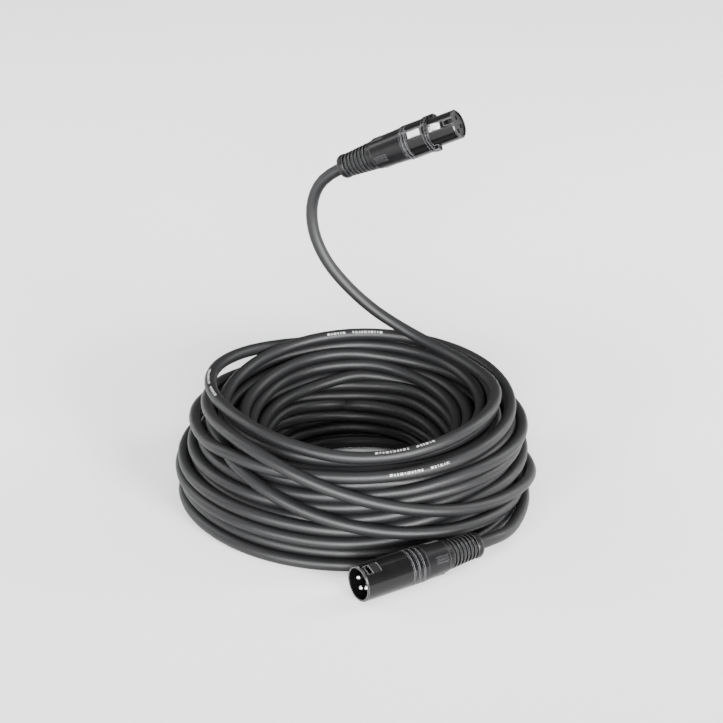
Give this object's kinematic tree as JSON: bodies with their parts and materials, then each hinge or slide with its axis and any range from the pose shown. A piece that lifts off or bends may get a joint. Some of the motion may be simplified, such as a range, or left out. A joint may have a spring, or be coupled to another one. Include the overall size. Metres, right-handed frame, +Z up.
{
  "type": "coiled microphone cable",
  "caption": "Black balanced microphone cable wound in a steep ring, its female connector standing up out of the coil and its male connector lying on the floor in front.",
  "frame": {"origin": "middle of the footprint of the whole part, on the surface that the coil lies on", "axes": "+Z up, square to that surface; +Y from the male connector in front towards the far side of the coil; +X to the right as seen from the front"},
  "size_m": [0.192, 0.2255, 0.1949],
  "materials": {
    "jacket": "satin extruded cable jacket, charcoal",
    "shell_black": "satin black electroplate",
    "sleeve_rubber": "matte moulded rubber",
    "bushing_black": "satin moulded plastic",
    "insert_black": "matte moulded plastic",
    "chuck_plastic": "natural moulded plastic",
    "latch_metal": "bright nickel",
    "spring_steel": "bright spring strip",
    "axle_steel": "ground wire",
    "pin_silver": "silver plate",
    "contact_silver": "silver plate",
    "copper": "tinned copper strands, twisted",
    "core_red": "insulation",
    "core_white": "insulation"
  },
  "bodies": {
    "root": {"cable_coil": "jacket", "cable_lead_female": "jacket", "cable_lead_male": "jacket", "cable_loose_loop": "jacket", "female_shell": "shell_black", "female_insert": "insert_black", "female_chuck": "chuck_plastic", "female_cable_end": "jacket", "female_screen_tail": "copper", "female_core_red": "core_red", "female_core_white": "core_white", "male_shell": "shell_black", "male_insert": "insert_black", "male_chuck": "chuck_plastic", "male_cable_end": "jacket", "male_screen_tail": "copper", "male_core_red": "core_red", "male_core_white": "core_white", "female_latch_pin": "axle_steel", "female_latch_spring": "spring_steel", "female_contact_1": "contact_silver", "male_pin_1": "pin_silver", "female_contact_2": "contact_silver", "male_pin_2": "pin_silver", "female_contact_3": "contact_silver", "male_pin_3": "pin_silver"},
    "female_latch": {"female_latch": "latch_metal"},
    "female_sleeve": {"female_bend_relief": "sleeve_rubber"},
    "female_nut": {"female_bushing": "bushing_black"},
    "male_sleeve": {"male_bend_relief": "sleeve_rubber"},
    "male_nut": {"male_bushing": "bushing_black"}
  },
  "joints": [
    {"name": "female_sleeve_slide", "type": "slide", "parent": "root", "child": "female_sleeve", "axis": [-0.8388, 0.3213, -0.4394], "range_m": [0, 0.003]},
    {"name": "female_nut_turn", "type": "hinge", "parent": "female_sleeve", "child": "female_nut", "pos_m": [0.01867, 0.08236, 0.16868], "axis": [-0.8388, 0.3213, -0.4394], "range_deg": [0, 1080]},
    {"name": "male_sleeve_slide", "type": "slide", "parent": "root", "child": "male_sleeve", "axis": [0.8304, 0.5572, 0], "range_m": [0, 0.003]},
    {"name": "male_nut_turn", "type": "hinge", "parent": "male_sleeve", "child": "male_nut", "pos_m": [0.03839, -0.08112, 0.0093], "axis": [0.8304, 0.5572, 0], "range_deg": [0, 1080]},
    {"name": "female_latch_press", "type": "hinge", "parent": "root", "child": "female_latch", "pos_m": [0.03056, 0.07234, 0.17938], "axis": [-0.161, 0.6246, 0.7641], "range_deg": [0, 5], "stiffness_Nm_per_rad": 0.02, "deforming": ["female_latch_spring"]}
  ],
  "couplings": [
    {"joint": "female_nut_turn", "follows": "female_sleeve_slide", "rad_per_m": 6283},
    {"joint": "male_nut_turn", "follows": "male_sleeve_slide", "rad_per_m": 6283}
  ]
}
